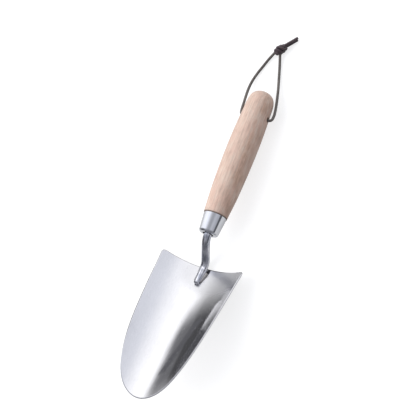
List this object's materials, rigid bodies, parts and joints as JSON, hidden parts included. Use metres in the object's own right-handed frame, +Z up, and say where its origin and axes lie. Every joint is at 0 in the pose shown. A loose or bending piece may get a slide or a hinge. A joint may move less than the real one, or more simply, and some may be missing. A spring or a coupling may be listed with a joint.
{
  "type": "hand trowel",
  "caption": "Hand trowel: pressed steel scoop on a cranked bar, drawn ferrule, turned wooden handle and a leather hanging loop.",
  "frame": {"origin": "middle of the footprint of the tool without its lanyard, on the surface that it lies on", "axes": "+Y from the blade's tip towards the butt of the handle, +X to the right across the blade, +Z up, the side that the scoop opens to"},
  "size_m": [0.0866, 0.391, 0.053],
  "materials": {
    "blade_steel": "fine satin, lengthwise polish",
    "bar_steel": "polished",
    "weld_metal": "ground and polished weld",
    "ferrule_steel": "polished",
    "handle_wood": "pale beige, sanded, lightly sealed",
    "glue": "cured epoxy, hidden",
    "thong_leather": "dark brown, lightly waxed"
  },
  "bodies": {
    "trowel": {"blade": "blade_steel", "neck_bar": "bar_steel", "weld_bead_left": "weld_metal", "weld_bead_right": "weld_metal", "ferrule": "ferrule_steel", "handle": "handle_wood", "tang_glue": "glue"},
    "lanyard": {"lanyard_strand_left": "thong_leather", "lanyard_strand_right": "thong_leather", "lanyard_knot": "thong_leather", "lanyard_tail_lower": "thong_leather", "lanyard_tail_upper": "thong_leather"}
  },
  "joints": [
    {"name": "lanyard_swing", "type": "hinge", "parent": "trowel", "child": "lanyard", "pos_m": [0, 0.13445, 0.01459], "axis": [1, 0, 0], "range_deg": [0, 160]}
  ]
}
